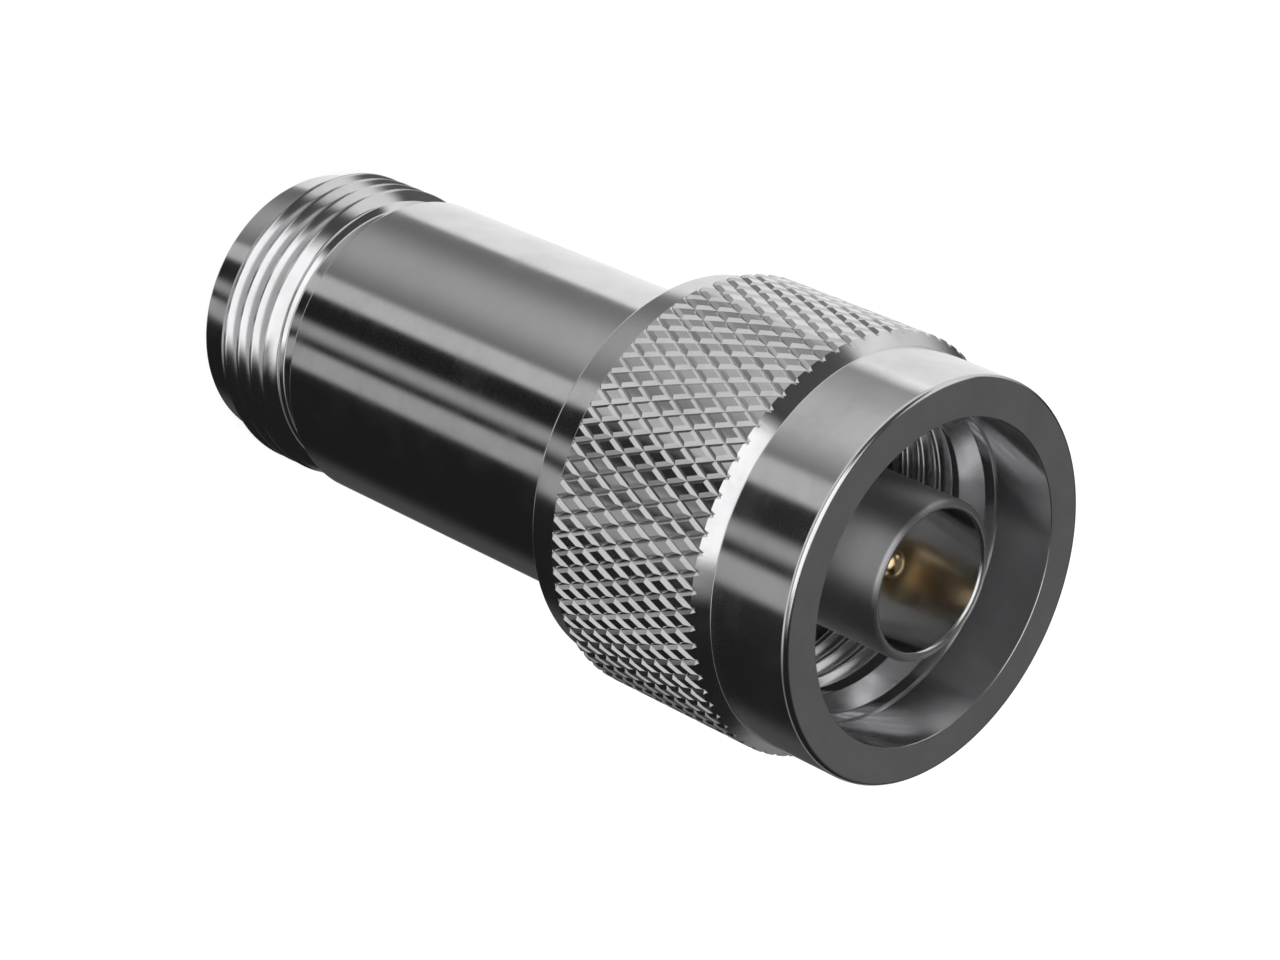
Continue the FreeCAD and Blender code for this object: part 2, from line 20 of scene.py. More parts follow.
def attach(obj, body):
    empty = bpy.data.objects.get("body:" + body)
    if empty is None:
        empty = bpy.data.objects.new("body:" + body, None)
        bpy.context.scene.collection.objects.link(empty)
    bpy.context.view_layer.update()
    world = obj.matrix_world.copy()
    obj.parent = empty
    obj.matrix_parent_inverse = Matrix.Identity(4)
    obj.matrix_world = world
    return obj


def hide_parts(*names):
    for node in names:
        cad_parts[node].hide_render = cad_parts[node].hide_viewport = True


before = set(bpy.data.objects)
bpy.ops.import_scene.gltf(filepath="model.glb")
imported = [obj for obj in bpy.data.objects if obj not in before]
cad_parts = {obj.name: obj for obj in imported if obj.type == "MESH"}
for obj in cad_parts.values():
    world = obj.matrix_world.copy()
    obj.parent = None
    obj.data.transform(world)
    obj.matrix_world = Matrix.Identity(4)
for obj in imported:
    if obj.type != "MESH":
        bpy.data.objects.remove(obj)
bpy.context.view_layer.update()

MM = 0.001  # a millimetre, in metres
SAME = 1e-7  # points nearer than this, in metres, are one
SKIM = 0.0075  # how far the thread tools cut into the blank's crests, in millimetres
SMOOTH_ANGLE = math.radians(24)
log = logging.getLogger("attenuator")

Colour = tuple[float, float, float]


class Body(Enum):
    """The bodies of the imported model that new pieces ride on."""

    BARREL = "barrel"
    NUT = "nut"


class Slot(Enum):
    """The record's material slots."""

    BARREL = "barrel_metal"
    PLUG = "plug_metal"
    NUT = "nut_metal"
    CONTACT = "contact_gold"
    DIELECTRIC = "white_dielectric"
    SEAL = "seal_rubber"


class Wire:
    """A node's output in shader arithmetic, where numbers, vectors and colours may be mixed."""

    def __init__(self, nodes: "Nodes", socket: bpy.types.NodeSocket) -> None:
        """Wrap an output socket of a tree that is being built."""
        self.nodes = nodes
        self.socket = socket

    def combine(self, operation: str, left: "Operand", right: "Operand") -> "Wire":
        """Add the node that works out one operation.

        Args:
            operation: The operation's name, which Math, Vector Math and Mix share.
            left: The first operand.
            right: The second operand.

        Returns:
            The result: a colour where one operand is a colour, else a vector where one is. A
            tuple beside a vector is a vector too.
        """
        kinds = {part.socket.type if isinstance(part, Wire) else type(part)
                 for part in (left, right)}
        if "RGBA" in kinds or (tuple in kinds and "VECTOR" not in kinds):
            settings = {"data_type": "RGBA", "blend_type": operation}
            return self.nodes.add("ShaderNodeMix", settings, {0: 1.0, 6: left, 7: right}, 2)
        kind = "ShaderNodeVectorMath" if "VECTOR" in kinds else "ShaderNodeMath"
        return self.nodes.add(kind, {"operation": operation}, {0: left, 1: right})

    def __add__(self, other: "Operand") -> "Wire":
        """Add another operand."""
        return self.combine("ADD", self, other)

    def __sub__(self, other: "Operand") -> "Wire":
        """Take another operand away."""
        return self.combine("SUBTRACT", self, other)

    def __rsub__(self, other: "Operand") -> "Wire":
        """Take this away from another operand."""
        return self.combine("SUBTRACT", other, self)

    def __mul__(self, other: "Operand") -> "Wire":
        """Multiply by another operand."""
        return self.combine("MULTIPLY", self, other)

    def __pow__(self, power: float) -> "Wire":
        """Raise a number to a power."""
        return self.combine("POWER", self, power)

    __radd__ = __add__
    __rmul__ = __mul__

    def between(self, low: float, high: float) -> "Wire":
        """A number's smooth rise from 0 at one value to 1 at another.

        Args:
            low: The value where the rise starts.
            high: The value where it ends, which may be the lower of the two.

        Returns:
            The rise, from 0 to 1.
        """
        settings = {"interpolation_type": "SMOOTHSTEP"}
        if low > high:
            return 1.0 - self.between(high, low)
        return self.nodes.add("ShaderNodeMapRange", settings, {0: self, 1: low, 2: high})


Operand = Wire | float | Colour


class Nodes:
    """A material's node tree while it is built."""

    def __init__(self, tree: bpy.types.NodeTree) -> None:
        """Empty a material's or the world's tree, so that only the script's nodes stand in it."""
        self.tree = tree
        tree.nodes.clear()

    def add(self, kind: str, settings: Mapping[str, object], inputs: Mapping[object, object],
            output: int = 0) -> Wire:
        """Add a node, with its settings first and then the values and links of its sockets.

        Args:
            kind: The node's type.
            settings: The node's properties by name.
            inputs: Values or wires by the socket's name or number.
            output: The number of the output that is returned.

        Returns:
            The chosen output.
        """
        node = self.tree.nodes.new(kind)
        for name, value in settings.items():
            setattr(node, name, value)
        for name, value in inputs.items():
            socket = node.inputs[name]
            if isinstance(value, Wire):
                self.tree.links.new(value.socket, socket)
            else:
                socket.default_value = self.fitted(value, socket)
        return Wire(self, node.outputs[output] if node.outputs else None)

    @staticmethod
    def fitted(value: object, socket: bpy.types.NodeSocket) -> object:
        """A plain value in the form that a socket takes.

        Args:
            value: A number or a colour.
            socket: The input that gets it.

        Returns:
            Four channels for a colour socket, three for a vector socket, else the value as it is.
        """
        if socket.type == "RGBA":
            return (*value, 1.0) if isinstance(value, tuple) else (value, value, value, 1.0)
        if socket.type == "VECTOR" and not isinstance(value, tuple):
            return (value, value, value)
        return value

    def noise(self, where: Operand, scale: float, detail: float = 2.0,
              roughness: float = 0.5) -> Wire:
        """A noise from 0 to 1 at a point, with how many finer layers and how strong they are."""
        inputs = {"Vector": where, "Scale": scale, "Detail": detail, "Roughness": roughness}
        return self.add("ShaderNodeTexNoise", {}, inputs)

    def bump(self, height: Wire, depth: float) -> Wire:
        """The surface's direction under a relief from 0 to 1, with its depth in millimetres."""
        inputs = {"Strength": 1.0, "Distance": depth * MM, "Height": height}
        return self.add("ShaderNodeBump", {}, inputs)


class Place:
    """Where a point lies on a turned piece, from its Object coordinates, in millimetres."""

    def __init__(self, nodes: Nodes) -> None:
        """Read the point's place.

        Args:
            nodes: The tree of the finish.
        """
        self.nodes = nodes
        self.point = nodes.add("ShaderNodeTexCoord", {}, {}, 3)
        parts = nodes.add("ShaderNodeSeparateXYZ", {}, {0: self.point}).socket.node.outputs
        x, y, height = (Wire(nodes, part) for part in parts)
        self.height = height * (1 / MM)
        self.radius = ((x * x + y * y) ** 0.5) * (1 / MM)

    def turning(self) -> Wire:
        """The radius and the height as a vector, which changes only across the turned lines."""
        return self.nodes.add("ShaderNodeCombineXYZ", {}, {0: self.radius, 2: self.height})


@dataclass(frozen=True)
class Finish(ABC):
    """A surface finish, built as one principled shader."""

    name: str
    colour: Colour

    @abstractmethod
    def sockets(self, nodes: Nodes) -> dict[str, object]:
        """The principled shader's inputs.

        Args:
            nodes: The tree of the finish.

        Returns:
            Values and wires by the input's name.
        """

    def material(self) -> bpy.types.Material:
        """The finish as a material, made once and then found again by its name.

        Returns:
            The material.
        """
        known = bpy.data.materials.get(self.name)
        if known:
            return known
        material = bpy.data.materials.new(self.name)
        material.use_nodes = True
        nodes = Nodes(material.node_tree)
        shader = nodes.add("ShaderNodeBsdfPrincipled", {}, self.sockets(nodes))
        nodes.add("ShaderNodeOutputMaterial", {}, {"Surface": shader})
        material.diffuse_color = (*self.colour, 1.0)
        return material


@dataclass(frozen=True)
class TurnedMetal(Finish):
    """Bright metal with the fine lines that turning leaves, and a faint haze.

    Attributes:
        roughness: How dull the polished metal is.
        haze: How much duller it gets in patches.
        line: The spacing of the turned lines, in millimetres.
        depth: The height of the turned lines, in millimetres.
        patches: How much the colour varies in patches.
        stretch: How far the turned lines stretch reflections along the axis, from 0 to 1.
        bore: The radius of a bore with its own finish, or 0.
        bore_depth: How far that finish goes inwards from the bore.
        bore_roughness: How much duller it is there.
        line_roughness: How much the roughness varies from line to line.
        cloud: How many patches a metre has.
        along: The turn of the stretched reflections, where 0.25 is along the axis.
    """

    roughness: float = 0.13
    haze: float = 0.06
    line: float = 0.12
    depth: float = 0.0004
    patches: float = 0.10
    stretch: float = 0.6
    bore: float = 0.0
    bore_depth: float = 0.1
    bore_roughness: float = 0.0
    line_roughness: float = 0.05
    cloud: float = 420.0
    along: float = 0.25

    def sockets(self, nodes: Nodes) -> dict[str, object]:
        """The principled shader's inputs for plated or bare metal.

        Args:
            nodes: The tree of the finish.

        Returns:
            Values and wires by the input's name.
        """
        place = Place(nodes)
        lines = nodes.noise(place.turning(), 1 / self.line, 3.0, 0.65)
        cloud = nodes.noise(place.point, self.cloud, 4.0, 0.6)
        shade = 1.0 - cloud.between(0.35, 0.75) * self.patches
        roughness = (self.roughness + cloud.between(0.4, 0.8) * self.haze
                     + (lines - 0.5) * self.line_roughness)
        if self.bore:
            deep = self.bore - self.bore_depth
            inside = (place.radius.between(self.bore + 0.05, self.bore + 0.01)
                      * place.radius.between(deep - 0.04, deep))
            roughness += inside * self.bore_roughness
        return {
            "Base Color": self.colour * shade,
            "Metallic": 1.0,
            "Roughness": roughness,
            "Anisotropic": self.stretch,
            "Anisotropic Rotation": self.along,
            "Normal": nodes.bump(lines, self.depth),
        }


@dataclass(frozen=True)
class Moulded(Finish):
    """Plastic, rubber or ceramic with a fine grain.

    Attributes:
        roughness: How dull the surface is.
        grain: The size of the grain, in millimetres.
        lines: How many mould lines a millimetre has.
        depth: The height of the grain, in millimetres.
        mottle: How much the colour varies with the grain.
        soft: How much light goes through the surface.
    """

    roughness: float = 0.5
    grain: float = 0.2
    lines: float = 6.0
    depth: float = 0.004
    mottle: float = 0.15
    soft: float = 0.0

    def sockets(self, nodes: Nodes) -> dict[str, object]:
        """The principled shader's inputs for a moulded or fired piece.

        Args:
            nodes: The tree of the finish.

        Returns:
            Values and wires by the input's name.
        """
        place = Place(nodes)
        grain = nodes.noise(place.point, 1 / (self.grain * MM), 4.0, 0.6)
        lines = nodes.noise(place.turning(), self.lines)
        shade = 1.0 - grain.between(0.3, 0.8) * self.mottle
        return {
            "Base Color": self.colour * shade,
            "Roughness": self.roughness + (grain - 0.5) * 0.2,
            "Subsurface Weight": self.soft,
            "Subsurface Scale": 0.5 * MM,
            "Normal": nodes.bump(grain * 0.6 + lines * 0.4, self.depth),
        }


PLATE = (0.66, 0.66, 0.67)
NICKEL = TurnedMetal("polished_nickel", PLATE)
NUT_NICKEL = TurnedMetal("nut_nickel", PLATE, roughness=0.14, line=0.10, stretch=0.8,
                         bore=8.1, bore_depth=0.07, bore_roughness=0.05)
PLUG_NICKEL = TurnedMetal("plug_nickel", PLATE, roughness=0.46, line=0.3, depth=0.0003,
                          stretch=0.95, bore=3.7, bore_depth=3.0, bore_roughness=-0.30)
GOLD = TurnedMetal("contact_gold_plate", (0.80, 0.60, 0.34), roughness=0.18, line=0.3, depth=0.0003)
BRONZE = TurnedMetal("spring_bronze_strip", (0.66, 0.42, 0.22), roughness=0.28, line=0.06)
ALUMINIUM = TurnedMetal("holder_aluminium", (0.82, 0.82, 0.83), roughness=0.34, line=0.09)
DIELECTRIC = Moulded("white_dielectric_bead", (0.86, 0.86, 0.84), roughness=0.35, soft=0.1,
                     mottle=0.05)
RUBBER = Moulded("seal_rubber_black", (0.018, 0.018, 0.02), roughness=0.55, grain=0.12)
CERAMIC = Moulded("card_ceramic_white", (0.80, 0.80, 0.77), roughness=0.4, grain=0.08, mottle=0.1)


@dataclass(frozen=True)
class Corner:
    """A corner of a turned outline.

    Attributes:
        radius: The distance from the axis.
        height: The height above the jack's face.
        rounding: How far along both sides the corner's rounding reaches.
    """

    radius: float
    height: float
    rounding: float = 0.0


class Model:
    """A mesh that is shaped with operators, as by hand."""

    def __init__(self, name: str) -> None:
        """Take the object that an operator has just made.

        Args:
            name: The piece's name.
        """
        self.object = bpy.context.active_object
        self.object.name = name
        self.object.data.name = name

    @staticmethod
    def deselect() -> None:
        """Leave nothing selected."""
        for other in bpy.context.selected_objects:
            other.select_set(False)

    def pick(self) -> None:
        """Leave only this piece selected, and active."""
        self.deselect()
        self.object.select_set(True)
        bpy.context.view_layer.objects.active = self.object

    @classmethod
    def outline(cls, name: str, corners: Sequence[Corner]) -> "Model":
        """Draw a closed line of straight runs in the XZ plane, and round its corners.

        Args:
            name: The piece's name.
            corners: The outline's corners, in order.

        Returns:
            The line, as a mesh of edges.
        """
        cls.deselect()
        start = (corners[0].radius * MM, 0, corners[0].height * MM)
        bpy.ops.mesh.primitive_plane_add(size=MM, location=start)
        model = cls(name)
        model.settle()
        with model.editing():
            bpy.ops.mesh.merge(type="CENTER")
            for here, there in zip(corners, [*corners[1:], corners[0]]):
                step = ((there.radius - here.radius) * MM, 0, (there.height - here.height) * MM)
                bpy.ops.mesh.extrude_vertices_move(TRANSFORM_OT_translate={"value": step})
            model.merge()
            for corner in corners:
                if corner.rounding:
                    model.round_corner(corner)
        return model

    def round_corner(self, corner: Corner) -> None:
        """Round one corner of an outline.

        Args:
            corner: The corner, with the reach of its rounding.
        """
        spot = Vector((corner.radius * MM, 0, corner.height * MM))
        self.select_vertices(lambda point: (point - spot).length < SAME)
        bpy.ops.mesh.bevel(offset=corner.rounding * MM, segments=5, affect="VERTICES")

    @classmethod
    def turned(cls, name: str, corners: Sequence[Corner], steps: int = 256) -> "Model":
        """Spin an outline about the axis.

        Args:
            name: The piece's name.
            corners: The outline's corners, in order.
            steps: How many steps one turn has.

        Returns:
            The closed turned piece.
        """
        model = cls.outline(name, corners)
        with model.editing():
            bpy.ops.mesh.spin(steps=steps, angle=2 * math.pi, center=(0, 0, 0), axis=(0, 0, 1))
            model.merge()
            model.face_outwards()
        return model

    @contextmanager
    def editing(self) -> Iterator[None]:
        """Work in edit mode with everything selected.

        Yields:
            Nothing, while the edit lasts.
        """
        self.pick()
        bpy.ops.object.mode_set(mode="EDIT")
        bpy.ops.mesh.select_mode(type="VERT")
        bpy.ops.mesh.select_all(action="SELECT")
        yield
        bpy.ops.object.mode_set(mode="OBJECT")

    @staticmethod
    def merge(reach: float = SAME) -> None:
        """Join the points that lie nearer than a reach, in edit mode."""
        bpy.ops.mesh.select_all(action="SELECT")
        bpy.ops.mesh.remove_doubles(threshold=reach)

    @staticmethod
    def face_outwards() -> None:
        """Turn all faces outwards, in edit mode."""
        bpy.ops.mesh.select_all(action="SELECT")
        bpy.ops.mesh.normals_make_consistent(inside=False)

    def select_vertices(self, wanted: Callable[[Vector], bool]) -> None:
        """Select vertices by their place, in edit mode.

        Args:
            wanted: Tells from a vertex's place whether it is selected.
        """
        shape = bmesh.from_edit_mesh(self.object.data)
        for vertex in shape.verts:
            vertex.select = wanted(vertex.co)
        shape.select_flush_mode()
        bmesh.update_edit_mesh(self.object.data)

    def settle(self) -> None:
        """Put the object's place, turn and scale into its mesh."""
        self.pick()
        bpy.ops.object.transform_apply(location=True, rotation=True, scale=True)

    def modify(self, kind: str, **settings: object) -> None:
        """Add a modifier and apply it.

        Args:
            kind: The modifier's type.
            settings: Its properties by name.
        """
        self.pick()
        modifier = self.object.modifiers.new(kind.lower(), kind)
        for name, value in settings.items():
            setattr(modifier, name, value)
        bpy.ops.object.modifier_apply(modifier=modifier.name)

    def cut(self, tool: "Model") -> None:
        """Cut a closed tool's shape out of the piece, and clear the tool away."""
        self.modify("BOOLEAN", operation="DIFFERENCE", solver="MANIFOLD", object=tool.object)
        bpy.data.meshes.remove(tool.object.data)

    def smooth(self) -> None:
        """Shade the piece smooth between its edges, with its large faces kept true."""
        self.pick()
        bpy.ops.object.shade_smooth_by_angle(angle=SMOOTH_ANGLE)
        self.modify("WEIGHTED_NORMAL", mode="FACE_AREA", weight=100, keep_sharp=True)


@dataclass
class ThreadTool:
    """The cutting tool of a right-handed thread: its groove's section, drawn along a helix.

    The tool is a whole pitch wide but for a thin gap, so that it also forms the rounded crests.

    Attributes:
        root: The radius of the groove's floor.
        crest: The radius of the crests.
        floor: The width of the groove's floor.
        low: The height of the groove's middle where it starts.
        turns: How many turns it goes up.
        start: The direction of the start from the X axis, in degrees.
        pitch: The rise of one turn.
        flank: The half angle between the flanks, in degrees.
        rounding: How far the rounding of a crest's edges reaches.
        gap: The width of blank that is left along the middle of each crest.
        clear: How far the tool reaches past the crests.
        steps: How many steps one turn has.
    """

    root: float
    crest: float
    floor: float
    low: float
    turns: float
    start: float = 0.0
    pitch: float = 25.4 / 24
    flank: float = 30.0
    rounding: float = 0.1
    gap: float = 0.02
    clear: float = 0.1
    steps: int = 128

    def model(self, name: str) -> Model:
        """Draw the section along the helix.

        Args:
            name: The tool's name.

        Returns:
            The closed tool.
        """
        out = 1 if self.crest > self.root else -1
        depth = abs(self.crest - self.root)
        flank_half = self.floor / 2 + depth * math.tan(math.radians(self.flank))
        crest_half = (self.pitch - self.gap) / 2
        half_section = [
            (self.root, self.floor / 2, self.floor / 3),
            (self.crest, flank_half, self.rounding),
            (self.crest, crest_half, 0.0),
            (self.crest + out * self.clear, crest_half, 0.0),
        ]
        upper = [Corner(radius, self.low + half, reach) for radius, half, reach in half_section]
        lower = [Corner(radius, self.low - half, reach) for radius, half, reach in half_section]
        model = Model.outline(name, upper + lower[::-1])
        steps = round(self.steps * self.turns)
        model.modify("SCREW", axis="Z", angle=2 * math.pi * self.turns, iterations=1,
                     screw_offset=self.turns * self.pitch * MM, steps=steps, render_steps=steps,
                     use_smooth_shade=False)
        model.object.rotation_euler.z = math.radians(self.start)
        model.settle()
        with model.editing():
            bpy.ops.mesh.fill_holes(sides=0)
            model.face_outwards()
        return model


@dataclass
class KnurlTool:
    """The cutting tool of a diamond knurl: a sleeve whose inside is all pyramids.

    A pyramid stands over each pad. The blank cuts off its point, which leaves the pad's flat top.

    Attributes:
        top: The radius of the pads' tops.
        depth: The depth of the crossings between the pads.
        share: How much of a pad's width its top takes, with its eased edges.
        edge: How much of a pad's width the easing of each edge takes.
        edge_drop: How far a pad's edge falls over its easing.
        around: How many pads one turn has.
        rows: How many half rows of pads the band has.
        low: The height of the band's lower end.
        high: The height of its upper end.
        spare: How many half rows the tool goes past each end.
        outside: The tool's outer radius.
    """

    top: float = 10.6
    depth: float = 0.14
    share: float = 0.61
    edge: float = 0.025
    edge_drop: float = 0.014
    around: int = 72
    rows: int = 9
    low: float = 30.35
    high: float = 39.55
    spare: int = 2
    outside: float = 11.6

    def model(self) -> Model:
        """Make one pyramid, repeat it, wrap it round the axis and close the sleeve.

        Returns:
            The closed tool.
        """
        valley = self.top - self.depth
        width = 2 * math.pi * valley / self.around
        half_row = (self.high - self.low) / self.rows
        flank = self.depth - self.edge_drop
        flat = self.share - 2 * self.edge
        peak = self.depth + self.edge_drop * flat / (2 * self.edge)
        Model.deselect()
        bpy.ops.mesh.primitive_cone_add(
            vertices=4, radius1=MM, radius2=self.share * MM, depth=flank * MM,
            end_fill_type="NOTHING", location=(0, flank / 2 * MM, 0), rotation=(-math.pi / 2, 0, 0))
        sleeve = Model("knurl_tool")
        sleeve.settle()
        with sleeve.editing():
            sleeve.select_vertices(lambda point: point.y > flank / 2 * MM)
            bpy.ops.mesh.extrude_edges_move(
                TRANSFORM_OT_translate={"value": (0, (peak - flank) * MM, 0)})
            bpy.ops.mesh.merge(type="CENTER")
        sleeve.object.scale = (width / 2, 1, half_row)
        sleeve.settle()
        with sleeve.editing():
            step = (width / 2 * MM, 0, half_row * MM)
            bpy.ops.mesh.duplicate_move(TRANSFORM_OT_translate={"value": step})
        rows = (self.rows + 1) // 2 + self.spare
        for count, offset in ((self.around, (width * MM, 0, 0)), (rows, (0, 0, 2 * half_row * MM))):
            sleeve.modify("ARRAY", count=count, use_relative_offset=False, use_constant_offset=True,
                          constant_offset_displace=offset)
        with sleeve.editing():
            sleeve.merge(10 * SAME)
        length = sleeve.object.dimensions.x
        sleeve.modify("SIMPLE_DEFORM", deform_method="BEND", deform_axis="Z",
                      angle=-length / (valley * MM))
        sleeve.object.location = (0, valley * MM, (self.low - (self.spare - 1) * half_row) * MM)
        sleeve.settle()
        grow = self.outside / valley
        with sleeve.editing():
            sleeve.merge(30 * SAME)
            bpy.ops.mesh.select_mode(type="EDGE")
            bpy.ops.mesh.select_all(action="DESELECT")
            bpy.ops.mesh.select_non_manifold(extend=False, use_wire=False, use_multi_face=False,
                                             use_non_contiguous=False, use_verts=False)
            bpy.ops.mesh.extrude_edges_move(TRANSFORM_OT_translate={"value": (0, 0, 0)})
            bpy.ops.transform.resize(value=(grow, grow, 1), center_override=(0, 0, 0))
            bpy.ops.mesh.bridge_edge_loops()
            sleeve.face_outwards()
        return sleeve


@dataclass
class Assembly(ABC):
    """A group of pieces that one person would make and dress together."""

    @abstractmethod
    def build(self) -> None:
        """Make the group's pieces and give them their finishes."""

    @staticmethod
    def dress(model: Model, node: str, body: Body, slot: Slot, finish: Finish) -> None:
        """Let a modelled piece stand for its CAD node.

        Args:
            model: The finished piece.
            node: The CAD node that it stands for.
            body: The body that it rides on.
            slot: The record's material slot; it is not used.
            finish: The surface finish.
        """
        model.smooth()
        model.object.data.materials.clear()
        model.object.data.materials.append(finish.material())
        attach(model.object, body.value)
        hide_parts(node)
        log.info("%s: %d faces in %s", node, len(model.object.data.polygons), finish.name)

    @staticmethod
    def coat(node: str, finish: Finish) -> None:
        """Give a CAD node that is kept its finish.

        Args:
            node: The CAD node.
            finish: The surface finish.
        """
        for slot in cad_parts[node].material_slots:
            slot.material = finish.material()
        log.info("%s: CAD shape in %s", node, finish.name)


@dataclass
class Barrel(Assembly):
    """The barrel and the threaded jack end, turned in one piece.

    Attributes:
        radius: The barrel's radius.
        low: Where the barrel starts above the undercut.
        high: Where it ends under the plug body's flange.
        thread: The jack thread's crest radius.
        root: The jack thread's root radius.
        lead: The radius of the plain lead in front of the thread.
        thread_low: Where the thread's rise starts.
        thread_high: Where the crests end and the cone down to the undercut starts.
        undercut: The radius of the undercut behind the thread.
        undercut_low: Where the undercut starts.
        mouth: The radius of the jack's mouth.
        mouth_depth: The depth of the mouth.
        line: The bore's radius in front of the bead.
        bead: The radius of the bead's seat.
        bead_low: Where the bead's seat starts.
        holder: The radius of the bore round the card's holder.
        holder_low: Where that bore starts.
        spigot: The radius of the bore round the plug's spigot.
        spigot_low: Where that bore starts.
        groove: The width of the thread's groove at its floor.
        groove_low: The height of the groove's middle where the cutter starts, before the face.
        turns: How many turns the cutter goes up.
    """

    radius: float = 7.95
    low: float = 7.7
    high: float = 31.5
    thread: float = 7.9375
    root: float = 7.33
    lead: float = 7.3
    thread_low: float = 1.45
    thread_high: float = 5.5
    undercut: float = 7.2
    undercut_low: float = 6.4
    mouth: float = 4.05
    mouth_depth: float = 9.1
    line: float = 3.5
    bead: float = 4.6
    bead_low: float = 10.6
    holder: float = 5.51
    holder_low: float = 15.6
    spigot: float = 6.51
    spigot_low: float = 26.7
    groove: float = 0.22
    groove_low: float = -0.057
    turns: float = 6.64

    def outline(self) -> list[Corner]:
        """The outline of the barrel before its thread is cut.

        Returns:
            The corners, from the jack's mouth outwards and up.
        """
        rise = self.thread - self.lead
        return [
            Corner(self.mouth, 0.0, 0.12),
            Corner(self.lead, 0.0, 0.14),
            Corner(self.lead, self.thread_low, 0.03),
            Corner(self.thread, self.thread_low + rise, 0.03),
            Corner(self.thread, self.thread_high, 0.06),
            Corner(self.undercut, self.undercut_low, 0.06),
            Corner(self.undercut, self.low, 0.06),
            Corner(self.radius, self.low, 0.15),
            Corner(self.radius, self.high, 0.15),
            Corner(self.spigot, self.high, 0.12),
            Corner(self.spigot, self.spigot_low),
            Corner(self.holder, self.spigot_low),
            Corner(self.holder, self.holder_low),
            Corner(self.bead, self.holder_low),
            Corner(self.bead, self.bead_low),
            Corner(self.line, self.bead_low),
            Corner(self.line, self.mouth_depth, 0.05),
            Corner(self.mouth, self.mouth_depth),
        ]

    def build(self) -> None:
        """Turn the barrel and cut the jack's thread."""
        barrel = Model.turned("barrel_turned", self.outline())
        tool = ThreadTool(self.root, self.thread - SKIM, self.groove, self.groove_low, self.turns)
        barrel.cut(tool.model("jack_thread_tool"))
        self.dress(barrel, "housing", Body.BARREL, Slot.BARREL, NICKEL)


@dataclass
class CouplingNut(Assembly):
    """The knurled nut that draws the plug onto its mating jack.

    Attributes:
        rear: The height of the rear face.
        front: The height of the front face.
        bore: The radius of the bore that runs on the barrel.
        rim: The radius of the plain rim behind the knurl.
        rim_high: Where that rim ends.
        ring: The radius of the plain ring in front of the knurl.
        ring_low: Where that ring starts.
        knurl: The tool of the knurl, which also gives the knurl's radius and ends.
        mouth: The radius of the mouth.
        mouth_low: Where the mouth ends.
        step: The radius inside the small step below the mouth.
        step_height: The height of the step's slope.
        cone_low: Where the cone below the step starts.
        thread_high: Where the cone ends and the thread starts.
        minor: The thread's bore.
        root: The radius of the thread's root.
        thread_groove: The width of the thread's groove at its floor.
        thread_low: The height of the groove's middle where the cutter starts.
        turns: How many turns the cutter goes up.
        start: The direction where it starts, in degrees.
        relief: The radius of the relief under the thread.
        relief_low: Where the relief starts.
        relief_high: Where it ends.
        land: The radius of the lands on both sides of the snap ring's groove.
        groove: The radius of that groove.
        groove_low: Where the groove starts.
        groove_high: Where it ends.
        land_low: Where the rear land starts.
    """

    rear: float = 28.2
    front: float = 45.0
    bore: float = 8.1
    rim: float = 10.0
    rim_high: float = 29.8
    ring: float = 10.05
    ring_low: float = 40.3
    knurl: KnurlTool = field(default_factory=KnurlTool)
    mouth: float = 8.08
    mouth_low: float = 41.7
    step: float = 7.98
    step_height: float = 0.15
    cone_low: float = 40.9
    thread_high: float = 39.75
    minor: float = 7.42
    root: float = 7.95
    thread_groove: float = 0.18
    thread_low: float = 34.9
    turns: float = 4.158
    start: float = 213.0
    relief: float = 8.0
    relief_low: float = 34.45
    relief_high: float = 35.35
    land: float = 7.15
    groove: float = 7.7
    groove_low: float = 32.45
    groove_high: float = 33.45
    land_low: float = 31.8

    def outline(self) -> list[Corner]:
        """The outline of the nut before its thread and knurl are cut.

        Returns:
            The corners, from the rear bore outwards, up and back through the mouth.
        """
        return [
            Corner(self.bore, self.rear, 0.2),
            Corner(self.rim, self.rear, 0.25),
            Corner(self.rim, self.rim_high, 0.03),
            Corner(self.knurl.top, self.knurl.low),
            Corner(self.knurl.top, self.knurl.high),
            Corner(self.ring, self.ring_low, 0.03),
            Corner(self.ring, self.front, 0.3),
            Corner(self.mouth, self.front, 0.05),
            Corner(self.mouth, self.mouth_low),
            Corner(self.step, self.mouth_low - self.step_height, 0.03),
            Corner(self.step, self.cone_low, 0.05),
            Corner(self.minor, self.thread_high, 0.03),
            Corner(self.minor, self.relief_high),
            Corner(self.relief, self.relief_high),
            Corner(self.relief, self.relief_low),
            Corner(self.land, self.relief_low, 0.05),
            Corner(self.land, self.groove_high),
            Corner(self.groove, self.groove_high),
            Corner(self.groove, self.groove_low),
            Corner(self.land, self.groove_low),
            Corner(self.land, self.land_low),
            Corner(self.bore, self.land_low),
        ]

    def build(self) -> None:
        """Turn the nut, cut its thread and roll its knurl."""
        nut = Model.turned("nut_turned", self.outline(), steps=4 * self.knurl.around)
        tool = ThreadTool(self.root, self.minor + SKIM, self.thread_groove, self.thread_low,
                          self.turns, self.start)
        nut.cut(tool.model("nut_thread_tool"))
        nut.cut(self.knurl.model())
        self.dress(nut, "coupling_nut", Body.NUT, Slot.NUT, NUT_NICKEL)


